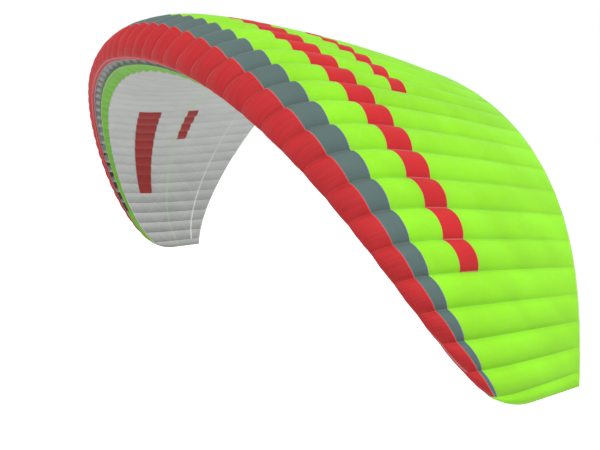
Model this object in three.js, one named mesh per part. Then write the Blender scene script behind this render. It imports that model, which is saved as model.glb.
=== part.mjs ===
// A paraglider wing in flight: an inflated ram-air canopy of sewn cloth.
//
// Millimetres. +X runs along the span to the wing's left, -Y points into the wind and +Z is up.
// The origin is on the lower sail at the centre rib, where the middle row of lines holds the wing.
//
// Every sheet is a closed solid of one cloth thickness. A place on the wing is given by its rib
// number (0 at the centre, 24 at the tip seam) and by its profile station w: w * w is the fraction
// of the local chord, w > 0 is the upper sail, w < 0 the lower one and w = 0 the nose.

import * as THREE from 'three';

// ---- Driving dimensions ---------------------------------------------------------------------

const ROOT_CHORD = 2750;      // centre rib, nose to trailing edge
const HALF_ARC = 5605;        // centre rib to tip seam, measured along the arc
const TIP_SEAM = 24;          // number of cells in each half
const TIP_RIB = 23;           // outermost rib
const LAST_INLET = 20;        // the cells beyond this rib have no air inlet
const CLOTH = 2;              // thickness of sails and ribs
const GAP = 0.3;              // between neighbouring pieces
const SEAM_RISE = 2.15;       // half distance between the two sails' outsides at the trailing edge
const RISE_STATION = 0.3;     // station from which that rise is full, from nothing at the nose
const PLATE_STEPS = 400;      // steps that add up the arc
const GRID = 1 / 256;         // every corner lies on this grid, so that its copies stay one point

// Cells are of one width out to this rib and narrow from there to the tip.
const WIDE_CELLS = 8;
const NARROWING = 0.364;
const NARROWING_POWER = 1.5;
const TIP_CELL = 0.66;        // extra narrowing of the tip cell

// Shape along the span. Each is a sum of powers of s, which runs from 0 at the centre to 1 at the tip.
const ARC_TILT = [[1, 38.6], [3, 41.6], [7, 13.6]];             // degrees from level
const SWEEP_BACK = [[2, 1083], [4, 97], [10, 325], [40, 100]];  // nose set back, mm
const CHORD_LOSS = [[2, 0.343], [4, 0.409], [10, -0.025], [40, 0.042]];  // of the root chord
const TWIST_TIP = 4.1;        // degrees, nose up, growing with s squared
const THICKNESS_LOSS = 0.46;  // of the root profile's heights at the tip, growing with s squared
const SPLAY = [[20, 3.3]];    // degrees by which a rib's nose leans outwards
const SPLAY_PIVOT = 0.3;      // chord fraction that the splay leaves in place

// Root profile: heights over the chord line as fractions of the chord, at evenly spaced stations
const PROFILE = [
  { w: 0, upper: 0, lower: 0 },
  { w: 1 / 7, upper: 0.0488, lower: -0.0205 },
  { w: 2 / 7, upper: 0.096, lower: -0.0475 },
  { w: 3 / 7, upper: 0.1199, lower: -0.064 },
  { w: 4 / 7, upper: 0.1135, lower: -0.068 },
  { w: 5 / 7, upper: 0.0904, lower: -0.0573 },
  { w: 6 / 7, upper: 0.0537, lower: -0.034 },
  { w: 1, upper: 0, lower: 0 },
];

// The tip seam is shorter than the sections lead to, and its front corner is rounded.
const TIP_CHORD = 685;
const TIP_THICKNESS = 0.1;    // of the root profile's heights
const TIP_ROUND = 0.5;        // of the tip cell's width
const TIP_ROUND_CHORD = 0.35; // fraction of the tip chord that the rounding takes

// How far the cloth swells between two ribs, as a fraction of the cell's width
const UPPER_SWELL = 0.22;
const LOWER_SWELL = 0.1;
const SWELL_START = 0.25;     // station on the top where the nose band is fully swollen
const SWELL_UNDER = 0.22;     // station below where the stiff edge behind the inlets ends
const EDGE_STATION = 0.1;     // width over which the swelling starts at the stiff edges
const SWELL_FADE = 4;         // power of the chord fraction that flattens the cells at the trailing edge

// Borders between the panels, as fractions of the local chord. The last three are on the lower side,
// and below zero where the lip runs up over the nose.
const BORDERS = [
  { rib: 0, redGrey: 0.067, greyGreen: 0.147, lip: 0.013, inlet: 0.044, strip: 0.093 },
  { rib: 4, redGrey: 0.066, greyGreen: 0.146, lip: 0.02, inlet: 0.05, strip: 0.096 },
  { rib: 8, redGrey: 0.064, greyGreen: 0.145, lip: 0.024, inlet: 0.054, strip: 0.093 },
  { rib: 12, redGrey: 0.06, greyGreen: 0.137, lip: 0.028, inlet: 0.057, strip: 0.093 },
  { rib: 16, redGrey: 0.062, greyGreen: 0.132, lip: 0.03, inlet: 0.06, strip: 0.097 },
  { rib: 20, redGrey: 0.06, greyGreen: 0.112, lip: 0.024, inlet: 0.058, strip: 0.097 },
  { rib: 22, redGrey: 0.066, greyGreen: 0.088, lip: 0.012, inlet: 0.045, strip: 0.073 },
  { rib: 23, redGrey: 0.03, greyGreen: 0.042, lip: -0.012, inlet: 0.03, strip: 0.05 },
];
const CAP_EDGE = -0.05;       // station at the tip rib where tip cap and tip underside meet
const LIP_ROOM = 2;           // gaps between the closed nose and the lip, which curves across it
const LINE_ROW = 0.37;        // chord fraction of the middle row of lines

// Mesh steps
const WIDE_STEPS = 3;         // across a cell of the top
const NARROW_STEPS = 2;
const LAST_WIDE_STEP_CELL = 18;
const LOWER_STEPS = 2;
const ROWS = { red: 3, grey: 2, green: 8, strip: 1, white: 5, closure: 3 };
const RIB_CLEARANCE = { centre: 0, tip: 1.8 };   // further inset of a rib's edge
const RIB_END = { centre: 0.08, tip: 0.25 };     // share of the last row left free at the trailing edge
const TIP_POWER = 8;          // power of the rib number by which these grow towards the tip

const COLOURS = {
  red: 0xd53a3e,
  grey: 0x708582,
  green: 0x9fee3c,
  strip: 0x80be4b,
  white: 0xc9cccb,
  rib: 0xc4c8c8,
};

// ---- Small helpers --------------------------------------------------------------------------

const FLAT = 1e-6;            // lengths and rises under this count as none
const STATION_STEP = 0.004;   // step of the profile station for slopes

const radians = THREE.MathUtils.degToRad;
const blend = THREE.MathUtils.lerp;

/** Sum of terms [power, factor] at s. */
function powerSum(terms, s) {
  return terms.reduce((total, [power, factor]) => total + factor * s ** power, 0);
}

const sideOf = (w) => (w >= 0 ? 1 : -1);

/** Moves a number to the grid. */
const onGrid = (value) => Math.round(value / GRID) * GRID;

/** Moves every corner of a geometry to the grid. */
function snapToGrid(geometry) {
  const { array } = geometry.getAttribute('position');
  array.forEach((value, i) => {
    array[i] = onGrid(value);
  });
}

/** A column of the border table at a rib number, turned into a profile station. */
function border(column, rib) {
  const next = Math.max(1, BORDERS.findIndex((row) => row.rib >= rib));
  const [inner, outer] = [BORDERS[next - 1], BORDERS[next]];
  const t = (rib - inner.rib) / (outer.rib - inner.rib);
  const fraction = blend(inner[column], outer[column], t);
  return Math.sign(fraction) * Math.sqrt(Math.abs(fraction));
}

/** Height of a circular arc over its chord of length 1, for a given rise in the middle. */
function arcHeight(t, rise) {
  if (rise < FLAT) {
    return 0;
  }
  const radius = 1 / (8 * rise) + rise / 2;
  return Math.sqrt(radius ** 2 - (t - 0.5) ** 2) - (radius - rise);
}

// ---- Span: where each rib stands ------------------------------------------------------------

/** Distance of each rib from the centre along the arc. */
function ribDistances() {
  const widths = [];
  for (let cell = 1; cell <= TIP_SEAM; cell += 1) {
    const outer = Math.max(0, (cell - WIDE_CELLS) / (TIP_SEAM - WIDE_CELLS));
    const tip = cell === TIP_SEAM ? TIP_CELL : 1;
    widths.push((1 - NARROWING * outer ** NARROWING_POWER) * tip);
  }
  const total = widths.reduce((sum, width) => sum + width, 0);
  const distances = [0];
  widths.forEach((width, i) => distances.push(distances[i] + (width * HALF_ARC) / total));
  return distances;
}

/** Walks along the arc and returns the place of its point at each distance. */
function arcPoints(distances) {
  const step = HALF_ARC / PLATE_STEPS;
  const tiltAt = (distance) => radians(powerSum(ARC_TILT, distance / HALF_ARC));
  const places = [];
  let x = 0;
  let z = 0;
  let walked = 0;
  for (const distance of distances) {
    while (distance - walked > FLAT) {
      const stride = Math.min(step, distance - walked);
      const tilt = tiltAt(walked + stride / 2);
      x += stride * Math.cos(tilt);
      z -= stride * Math.sin(tilt);
      walked += stride;
    }
    places.push({ x, z, tilt: tiltAt(distance) });
  }
  return places;
}

/** The sections of one half, from the centre rib to the tip seam. */
function makeSections() {
  const distances = ribDistances();
  const sections = arcPoints(distances).map((place, rib) => {
    const s = distances[rib] / HALF_ARC;
    return {
      ...place,
      rib,
      lead: powerSum(SWEEP_BACK, s),
      chord: ROOT_CHORD * (1 - powerSum(CHORD_LOSS, s)),
      twist: radians(TWIST_TIP * s * s),
      thickness: 1 - THICKNESS_LOSS * s * s,
      splay: Math.tan(radians(powerSum(SPLAY, s))),
    };
  });
  const tip = sections[TIP_SEAM];
  tip.lead += tip.chord - TIP_CHORD;
  tip.chord = TIP_CHORD;
  tip.thickness = TIP_THICKNESS;
  return sections;
}

const SECTIONS = makeSections();

// ---- Profile: a point and its outward direction in a section --------------------------------

/** Height of the root profile at a station, as a smooth curve through the table. */
function profileHeight(w) {
  const column = w < 0 ? 'lower' : 'upper';
  const other = w < 0 ? 'upper' : 'lower';
  const last = PROFILE.length - 1;
  const place = Math.abs(w) * last;
  const i = Math.min(last - 1, Math.floor(place));
  const t = place - i;
  const at = (j) => {
    if (j < 0) {
      return PROFILE[-j][other];
    }
    return j > last ? -PROFILE[2 * last - j][column] : PROFILE[j][column];
  };
  const [a, b, c, d] = [at(i - 1), at(i), at(i + 1), at(i + 2)];
  return b + 0.5 * t * (c - a + t * (2 * a - 5 * b + 4 * c - d + t * (3 * (b - c) + d - a)));
}

/** Place in the section's own plane: y aft from the nose line, n along the section's up. */
function flatPlace(section, w, side) {
  const rise = SEAM_RISE * (section.rib === TIP_SEAM ? 1 : Math.min(1, Math.abs(w) / RISE_STATION));
  const along = w * w * section.chord;
  const up = profileHeight(w) * section.thickness * section.chord + side * rise;
  const { twist } = section;
  return {
    y: along * Math.cos(twist) + up * Math.sin(twist),
    n: up * Math.cos(twist) - along * Math.sin(twist),
  };
}

/** Outward direction in the section's plane, as an angle from +Y towards the section's up. */
function outwardAngle(section, w, side) {
  if (section.rib === TIP_SEAM) {
    return side > 0 ? Math.PI / 2 : (3 * Math.PI) / 2;
  }
  const ahead = Math.min(1, w + STATION_STEP);
  const behind = Math.max(-1, w - STATION_STEP);
  const a = flatPlace(section, behind, sideOf(behind));
  const b = flatPlace(section, ahead, sideOf(ahead));
  const angle = Math.atan2(b.n - a.n, b.y - a.y) + Math.PI / 2;
  return angle < 0 ? angle + 2 * Math.PI : angle;
}

/** An angle in a section's plane as a direction in space. */
function outwardDirection(angle, tilt) {
  return new THREE.Vector3(
    Math.sin(angle) * Math.sin(tilt),
    Math.cos(angle),
    Math.sin(angle) * Math.cos(tilt),
  );
}

/** Point of a section in the wing's frame, before the origin is set. */
function spacePoint(section, flat, pull = 0) {
  const inner = SECTIONS[TIP_RIB];
  const lean = section.splay * (SPLAY_PIVOT * section.chord - flat.y);
  const x = blend(section.x, inner.x, pull) + lean * Math.cos(section.tilt);
  const z = blend(section.z, inner.z, pull) - lean * Math.sin(section.tilt);
  return new THREE.Vector3(
    x + flat.n * Math.sin(section.tilt),
    section.lead + flat.y,
    z + flat.n * Math.cos(section.tilt),
  );
}

/** How far the front corner of the tip seam is drawn in. */
function cornerPull(section, w) {
  if (section.rib !== TIP_SEAM) {
    return 0;
  }
  return TIP_ROUND * Math.max(0, 1 - (w * w) / TIP_ROUND_CHORD) ** 2;
}

/** Swell of the cloth in the middle of a cell, as a fraction of its width. */
function swell(w) {
  const u = w * w;
  const fade = 1 - u ** SWELL_FADE;
  if (w >= 0) {
    return UPPER_SWELL * fade * THREE.MathUtils.smoothstep(w, -EDGE_STATION, SWELL_START);
  }
  const nose = UPPER_SWELL * THREE.MathUtils.smoothstep(w, -EDGE_STATION, SWELL_START);
  const start = THREE.MathUtils.smoothstep(-w, SWELL_UNDER, SWELL_UNDER + EDGE_STATION);
  return Math.max(nose, LOWER_SWELL * fade * start);
}

// ---- Sheets ---------------------------------------------------------------------------------

/** One corner of a sheet's net: its outer and inner point. */
function netPoint(ribA, ribB, t, stationA, stationB, side) {
  const a = SECTIONS[ribA];
  const b = SECTIONS[ribB];
  const pointA = spacePoint(a, flatPlace(a, stationA, side(stationA)));
  const pointB = spacePoint(b, flatPlace(b, stationB, side(stationB)), cornerPull(b, stationB));
  const width = pointA.distanceTo(pointB);
  const angleA = outwardAngle(a, stationA, side(stationA));
  const angleB = outwardAngle(b, stationB, side(stationB));
  const angle = blend(angleA, angleB, t);
  const tilt = blend(a.tilt, b.tilt, t);
  const outward = outwardDirection(angle, tilt);
  const rise = width * arcHeight(t, swell(blend(stationA, stationB, t)));
  const outer = pointA.lerp(pointB, t).addScaledVector(outward, rise);
  return { outer, inner: outer.clone().addScaledVector(outward, -CLOTH) };
}

/** Stations across the span as { cell, t }, from rib to rib of one half. */
function halfSpan(fromRib, toRib, stepsOf, startGap = 0) {
  const list = [];
  for (let cell = fromRib + 1; cell <= toRib; cell += 1) {
    const steps = stepsOf(cell);
    const first = cell === fromRib + 1 ? 0 : 1;
    for (let i = first; i <= steps; i += 1) {
      list.push({ cell, t: i === 0 ? startGap : i / steps });
    }
  }
  return list;
}

/** The net's columns on the left half, or on the right half as their mirror image. */
function columnsOfHalf(places, stationsOf, side, mirror) {
  const columns = places.map(({ cell, t }) => {
    const near = stationsOf(cell - 1, cell);
    const far = stationsOf(cell, cell);
    return near.map((station, i) => netPoint(cell - 1, cell, t, station, far[i], side));
  });
  if (!mirror) {
    return columns;
  }
  const flip = new THREE.Vector3(-1, 1, 1);
  return columns.reverse().map((column) => column.map(({ outer, inner }) => ({
    outer: outer.clone().multiply(flip),
    inner: inner.clone().multiply(flip),
  })));
}

/**
 * A closed sheet from columns of outer and inner points. Both layers are split along the same
 * diagonals, so that the cloth is of one thickness. The faces along its edges are split along the
 * same diagonal on both sides of a border, so that neighbouring sheets keep their distance.
 */
function sheetGeometry(columns) {
  const rows = columns[0].length;
  const positions = [];
  columns.forEach((column) => column.forEach(({ outer }) => positions.push(...outer)));
  columns.forEach((column) => column.forEach(({ inner }) => positions.push(...inner)));
  const inside = columns.length * rows;
  const at = (i, j) => i * rows + j;
  const index = [];
  const quad = (a, b, c, d) => index.push(a, b, c, a, c, d);
  const lastColumn = columns.length - 1;
  const lastRow = rows - 1;
  for (let i = 0; i < lastColumn; i += 1) {
    for (let j = 0; j < lastRow; j += 1) {
      const corners = [at(i, j), at(i + 1, j), at(i + 1, j + 1), at(i, j + 1)];
      const [a, b, c, d] = corners.map((corner) => corner + inside);
      quad(...corners);
      quad(a, d, c, b);
    }
    quad(at(i + 1, 0), at(i, 0), inside + at(i, 0), inside + at(i + 1, 0));
    quad(at(i + 1, lastRow), inside + at(i + 1, lastRow), inside + at(i, lastRow), at(i, lastRow));
  }
  for (let j = 0; j < lastRow; j += 1) {
    quad(at(0, j), at(0, j + 1), inside + at(0, j + 1), inside + at(0, j));
    quad(
      at(lastColumn, j), inside + at(lastColumn, j),
      inside + at(lastColumn, j + 1), at(lastColumn, j + 1),
    );
  }
  const geometry = new THREE.BufferGeometry();
  geometry.setAttribute('position', new THREE.Float32BufferAttribute(positions, 3));
  geometry.setIndex(index);
  snapToGrid(geometry);
  geometry.computeVertexNormals();
  return geometry;
}

// ---- Panels: which stations bound each piece ------------------------------------------------

/** Shifts a station by the gap between pieces, measured along the cloth. */
function offStation(rib, w, direction) {
  const section = SECTIONS[rib];
  const a = flatPlace(section, w - STATION_STEP, sideOf(w));
  const b = flatPlace(section, w + STATION_STEP, sideOf(w));
  const rate = Math.hypot(b.y - a.y, b.n - a.n) / (2 * STATION_STEP);
  return w + (direction * GAP) / rate;
}

/** Evenly spaced stations from one to another. */
function spread(from, to, steps) {
  return Array.from({ length: steps + 1 }, (_, i) => blend(from, to, i / steps));
}

const PANELS = {
  nose_band: {
    colour: 'red',
    stations: (rib) => spread(-border('lip', rib), border('redGrey', rib), ROWS.red),
  },
  grey_band: {
    colour: 'grey',
    stations: (rib) => spread(
      offStation(rib, border('redGrey', rib), 1), border('greyGreen', rib), ROWS.grey,
    ),
  },
  upper_sail: {
    colour: 'green',
    stations: (rib) => spread(offStation(rib, border('greyGreen', rib), 1), 1, ROWS.green),
  },
  lower_strip: {
    colour: 'strip',
    stations: (rib) => spread(-border('strip', rib), -border('inlet', rib), ROWS.strip),
  },
  lower_sail: {
    colour: 'white',
    stations: (rib) => spread(-1, offStation(rib, -border('strip', rib), -1), ROWS.white),
  },
};

const WHOLE_PANELS = ['grey_band', 'upper_sail', 'lower_strip'];
const HALF_PANELS = ['nose_band', 'lower_sail'];   // with a seam along the centre rib

const upperSteps = (cell) => (cell <= LAST_WIDE_STEP_CELL ? WIDE_STEPS : NARROW_STEPS);
const lowerSteps = () => LOWER_STEPS;
const stepsOfPanel = (name) => (name.startsWith('lower') ? lowerSteps : upperSteps);

function clothMesh(name, geometry, colour) {
  const material = new THREE.MeshStandardMaterial({
    color: COLOURS[colour], roughness: 0.6, metalness: 0,
  });
  const mesh = new THREE.Mesh(geometry, material);
  mesh.name = name;
  return mesh;
}

/** A panel that runs over the whole span, from tip rib to tip rib. */
function spanPanel(name) {
  const { colour, stations } = PANELS[name];
  const places = halfSpan(0, TIP_RIB, stepsOfPanel(name));
  const right = columnsOfHalf(places, stations, sideOf, true);
  const left = columnsOfHalf(places, stations, sideOf, false);
  return clothMesh(name, sheetGeometry([...right, ...left.slice(1)]), colour);
}

/** A panel that runs from the centre rib to one tip rib. */
function halfPanel(name, side) {
  const { colour, stations } = PANELS[name];
  const start = GAP / 2 / SECTIONS[1].x;
  const places = halfSpan(0, TIP_RIB, stepsOfPanel(name), start);
  const columns = columnsOfHalf(places, stations, sideOf, side === 'right');
  return clothMesh(`${name}_${side}`, sheetGeometry(columns), colour);
}

/** Stations of the closed nose, from the lower strip up to the nose band. */
function closureStations(rib) {
  return spread(
    offStation(rib, -border('inlet', rib), 1),
    offStation(rib, -border('lip', rib), -LIP_ROOM),
    ROWS.closure,
  );
}

/** Green cloth that closes the nose of the outer cells, between the nose band and the lower strip. */
function noseClosure(side) {
  const places = halfSpan(LAST_INLET, TIP_RIB, lowerSteps);
  const columns = columnsOfHalf(places, closureStations, sideOf, side === 'right');
  return clothMesh(`nose_closure_${side}`, sheetGeometry(columns), 'strip');
}

/** Stations of the tip cap, at the tip rib or carried over to the tip seam. */
function capStations(rib) {
  const closure = closureStations(TIP_RIB).slice(0, -1).filter((w) => w > CAP_EDGE);
  const nose = PANELS.nose_band.stations(TIP_RIB);
  const stations = [CAP_EDGE, ...closure, ...nose, ...PANELS.upper_sail.stations(TIP_RIB)];
  return rib === TIP_RIB ? stations : stations.map((w) => (w - CAP_EDGE) / (1 - CAP_EDGE));
}

/** Stations of the tip's underside, which starts just below the cap. */
function underStations(rib) {
  const sail = PANELS.lower_sail.stations(TIP_RIB);
  const edge = offStation(TIP_RIB, CAP_EDGE, -1);
  const closure = closureStations(TIP_RIB).filter((w) => w < edge);
  const stations = [...sail, ...closure, edge];
  return rib === TIP_RIB ? stations : stations.map((w) => (w - edge) / (1 + edge));
}

/** The tip cell's two panels, which meet at the rounded tip seam. */
function tipPanels(side) {
  const width = SECTIONS[TIP_SEAM].z - SECTIONS[TIP_RIB].z;
  const places = halfSpan(TIP_RIB, TIP_SEAM, () => WIDE_STEPS, GAP / Math.abs(width));
  const mirror = side === 'right';
  const cap = columnsOfHalf(places, capStations, sideOf, mirror);
  const under = columnsOfHalf(places, underStations, () => -1, mirror);
  return [
    clothMesh(`tip_cap_${side}`, sheetGeometry(cap), 'green'),
    clothMesh(`tip_under_${side}`, sheetGeometry(under), 'white'),
  ];
}

// ---- Ribs -----------------------------------------------------------------------------------

/** Stations round a rib, taken from the rows of the sails so that its edges follow their facets. */
function ribStations(rib) {
  const top = PANELS.upper_sail.stations(rib).reverse();
  const nose = PANELS.nose_band.stations(rib).reverse();
  const under = PANELS.lower_sail.stations(rib).reverse();
  const everySecond = top.filter((_, i) => i % 2 === 0 || i === 1);
  const closed = rib > LAST_INLET ? closureStations(rib).slice(0, -1).reverse() : [];
  return [...everySecond, ...nose, ...closed, -border('inlet', rib), ...under];
}

/** Value for a rib between those of the centre and the tip, rising fast near the tip. */
function towardsTip({ centre, tip }, rib) {
  return blend(centre, tip, (rib / TIP_RIB) ** TIP_POWER);
}

/** Directions of a rib: aft along it, up in it and square through it. */
function ribDirections(section, hand) {
  const tilt = section.tilt * hand;
  const aft = new THREE.Vector3(
    -section.splay * hand * Math.cos(tilt), 1, section.splay * hand * Math.sin(tilt),
  ).normalize();
  const up = new THREE.Vector3(Math.sin(tilt), 0, Math.cos(tilt));
  return { aft, up, across: new THREE.Vector3().crossVectors(aft, up) };
}

/** Depth of a rib's edge below the outside of the sails, which slant across the rib's thickness. */
function seatDepth(rib, w, angle) {
  const section = SECTIONS[rib];
  const here = spacePoint(section, flatPlace(section, w, sideOf(w)));
  const outward = outwardDirection(angle, section.tilt);
  const { across } = ribDirections(section, 1);
  const slants = [rib - 1, rib + 1].filter((other) => other >= 0).map((other) => {
    const way = spacePoint(SECTIONS[other], flatPlace(SECTIONS[other], w, sideOf(w))).sub(here);
    return -way.dot(outward) / Math.abs(way.dot(across));
  });
  return CLOTH + GAP + towardsTip(RIB_CLEARANCE, rib) + (CLOTH / 2) * Math.max(0, ...slants);
}

/** A flat rib, seated inside the sails along their seam. */
function ribMesh(name, rib, mirror) {
  const section = SECTIONS[rib];
  const outline = ribStations(rib).map((w) => {
    const place = flatPlace(section, w, sideOf(w));
    const angle = outwardAngle(section, w, sideOf(w));
    const inset = seatDepth(rib, w, angle);
    const along = (place.y - inset * Math.cos(angle)) * Math.hypot(1, section.splay);
    return new THREE.Vector2(along, place.n - inset * Math.sin(angle));
  });
  const free = towardsTip(RIB_END, rib);
  outline[0].lerp(outline[1], free);
  outline[outline.length - 1].lerp(outline[outline.length - 2], free);
  const geometry = new THREE.ExtrudeGeometry(new THREE.Shape(outline), {
    depth: CLOTH, bevelEnabled: false, steps: 1,
  });
  geometry.translate(0, 0, -CLOTH / 2);
  const hand = mirror ? -1 : 1;
  const { aft, up, across } = ribDirections(section, hand);
  const nose = spacePoint(section, { y: 0, n: 0 });
  nose.x *= hand;
  geometry.applyMatrix4(new THREE.Matrix4().makeBasis(aft, up, across).setPosition(nose));
  snapToGrid(geometry);
  return clothMesh(name, geometry, 'rib');
}

// ---- The wing -------------------------------------------------------------------------------

function makeWing() {
  const wing = new THREE.Group();
  WHOLE_PANELS.forEach((name) => wing.add(spanPanel(name)));
  for (const side of ['left', 'right']) {
    HALF_PANELS.forEach((name) => wing.add(halfPanel(name, side)));
    wing.add(noseClosure(side), ...tipPanels(side));
    for (let rib = 1; rib <= TIP_RIB; rib += 1) {
      const name = `rib_${side}_${String(rib).padStart(2, '0')}`;
      wing.add(ribMesh(name, rib, side === 'right'));
    }
  }
  wing.add(ribMesh('rib_centre', 0, false));
  const hold = spacePoint(SECTIONS[0], flatPlace(SECTIONS[0], -Math.sqrt(LINE_ROW), -1));
  wing.position.set(...hold.negate().toArray().map(onGrid));
  return wing;
}

const root = new THREE.Group();
root.add(makeWing());

export default root;
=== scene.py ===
"""A paraglider wing in flight: a ram-air canopy of sewn ripstop cloth, dressed for rendering.

Metres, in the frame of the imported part: +X runs along the span to the wing's left, -Y points
into the wind and +Z is up. A place on the wing is given by its rib number (0 at the centre, 24
at the tip seam) and by its profile station w: w * w is the fraction of the local chord, w > 0 is
the upper sail, w < 0 the lower one and w = 0 the nose.
"""

import logging
import math
from collections.abc import Callable, Sequence
from dataclasses import dataclass, field
from enum import Enum

import bpy
import numpy as np
from mathutils import Matrix, Vector

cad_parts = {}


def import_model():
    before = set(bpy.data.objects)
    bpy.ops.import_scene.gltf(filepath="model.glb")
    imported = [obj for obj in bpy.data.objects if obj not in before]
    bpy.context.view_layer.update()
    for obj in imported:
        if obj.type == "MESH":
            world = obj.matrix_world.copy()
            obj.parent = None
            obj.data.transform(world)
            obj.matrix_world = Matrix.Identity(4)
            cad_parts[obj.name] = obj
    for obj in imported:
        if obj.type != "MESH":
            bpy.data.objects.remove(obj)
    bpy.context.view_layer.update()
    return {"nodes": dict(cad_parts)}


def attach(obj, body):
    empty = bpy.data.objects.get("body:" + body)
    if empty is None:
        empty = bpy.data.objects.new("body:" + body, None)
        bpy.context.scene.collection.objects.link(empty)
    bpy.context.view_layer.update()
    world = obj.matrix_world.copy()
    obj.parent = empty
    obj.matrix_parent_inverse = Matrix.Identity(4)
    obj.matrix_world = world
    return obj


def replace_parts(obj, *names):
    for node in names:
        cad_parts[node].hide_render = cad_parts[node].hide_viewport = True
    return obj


LOG = logging.getLogger("wing")

BODY = "root"

CLOTH = 0.0016  # thickness of the sails' cloth
GAP = 0.0003  # between neighbouring pieces
TAPE_TOP = 0.0012  # height of tapes and bars over the sail
STATION_STEP = 0.004  # step of the profile station for slopes
LENGTH_STATIONS = 401  # stations over which lengths of cloth are added up
FLAT = 1e-6  # rises under this count as none

Array = np.ndarray
RowLaw = Callable[[int], Array]
Socket = bpy.types.NodeSocket


# ---- Small helpers --------------------


def linear(colour: str) -> tuple[float, float, float, float]:
    """Turns a screen colour such as "9fee3c" into the linear colour that a shader takes.

    Args:
        colour: Six hexadecimal digits.

    Returns:
        Red, green, blue and alpha.
    """
    parts = [int(colour[i : i + 2], 16) / 255 for i in (0, 2, 4)]
    red, green, blue = (
        p / 12.92 if p <= 0.04045 else ((p + 0.055) / 1.055) ** 2.4 for p in parts
    )
    return red, green, blue, 1.0


def link(name: str, data: bpy.types.ID) -> bpy.types.Object:
    """Returns a new object in the scene that shows the data."""
    thing = bpy.data.objects.new(name, data)
    bpy.context.scene.collection.objects.link(thing)
    return thing


def power_sum(terms: Sequence[tuple[int, float]], s: float) -> float:
    """Returns the sum of the terms (power, factor) at s."""
    return sum(factor * s**power for power, factor in terms)


def smoothstep(value: Array, low: float, high: float) -> Array:
    """Returns 0 below low, 1 above high and a smooth step between."""
    t = np.clip((value - low) / (high - low), 0.0, 1.0)
    return t * t * (3 - 2 * t)


def arc_height(t: float, rise: Array) -> Array:
    """Height of a circular arc over its chord of length 1.

    Args:
        t: Place along the chord, from 0 to 1.
        rise: The arc's height in the middle, one for each row.

    Returns:
        The height at t for each row.
    """
    safe = np.maximum(rise, FLAT)
    radius = 1 / (8 * safe) + safe / 2
    height = np.sqrt(radius**2 - (t - 0.5) ** 2) - (radius - safe)
    return np.where(rise < FLAT, 0.0, height)


# ---- The wing's shape --------------------


class Border(Enum):
    """Borders between the panels, named after what lies on their two sides."""

    RED_GREY = "red_grey"
    GREY_GREEN = "grey_green"
    LIP = "lip"
    INLET = "inlet"
    STRIP = "strip"


BORDER_RIBS = (0, 4, 8, 12, 16, 20, 22, 23)
# Fractions of the local chord at those ribs. The last three borders are on the lower side, and
# below zero where the lip runs up over the nose.
BORDERS = {
    Border.RED_GREY: (0.067, 0.066, 0.064, 0.06, 0.062, 0.06, 0.066, 0.03),
    Border.GREY_GREEN: (0.147, 0.146, 0.145, 0.137, 0.132, 0.112, 0.088, 0.042),
    Border.LIP: (0.013, 0.02, 0.024, 0.028, 0.03, 0.024, 0.012, -0.012),
    Border.INLET: (0.044, 0.05, 0.054, 0.057, 0.06, 0.058, 0.045, 0.03),
    Border.STRIP: (0.093, 0.096, 0.093, 0.093, 0.097, 0.097, 0.073, 0.05),
}
UNDER = (Border.LIP, Border.INLET, Border.STRIP)


@dataclass(frozen=True)
class Profile:
    """The root profile: heights over the chord line at evenly spaced stations, per chord."""

    upper: tuple[float, ...] = (0, 0.0488, 0.096, 0.1199, 0.1135, 0.0904, 0.0537, 0)
    lower: tuple[float, ...] = (0, -0.0205, -0.0475, -0.064, -0.068, -0.0573, -0.034, 0)

    def height(self, w: Array) -> Array:
        """Heights at stations, along a smooth curve through the table.

        Args:
            w: Profile stations from -1 to 1.

        Returns:
            Heights as fractions of the chord.
        """
        last = len(self.upper) - 1
        place = np.abs(w) * last
        i = np.minimum(last - 1, np.floor(place)).astype(int)
        t = place - i
        heights = np.zeros_like(place)
        for below, own, other in ((False, self.upper, self.lower), (True, self.lower, self.upper)):
            table = np.array([other[1], *own, -own[last - 1]])
            a, b, c, d = (table[i + j] for j in range(4))
            bend = 2 * a - 5 * b + 4 * c - d + t * (3 * (b - c) + d - a)
            heights = np.where((w < 0) == below, b + 0.5 * t * (c - a + t * bend), heights)
        return heights


@dataclass(frozen=True)
class Section:
    """One rib's place and profile. Lengths in metres, angles in radians, splay as a tangent."""

    rib: int
    x: float
    z: float
    tilt: float
    lead: float
    chord: float
    twist: float
    thickness: float
    splay: float


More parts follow.
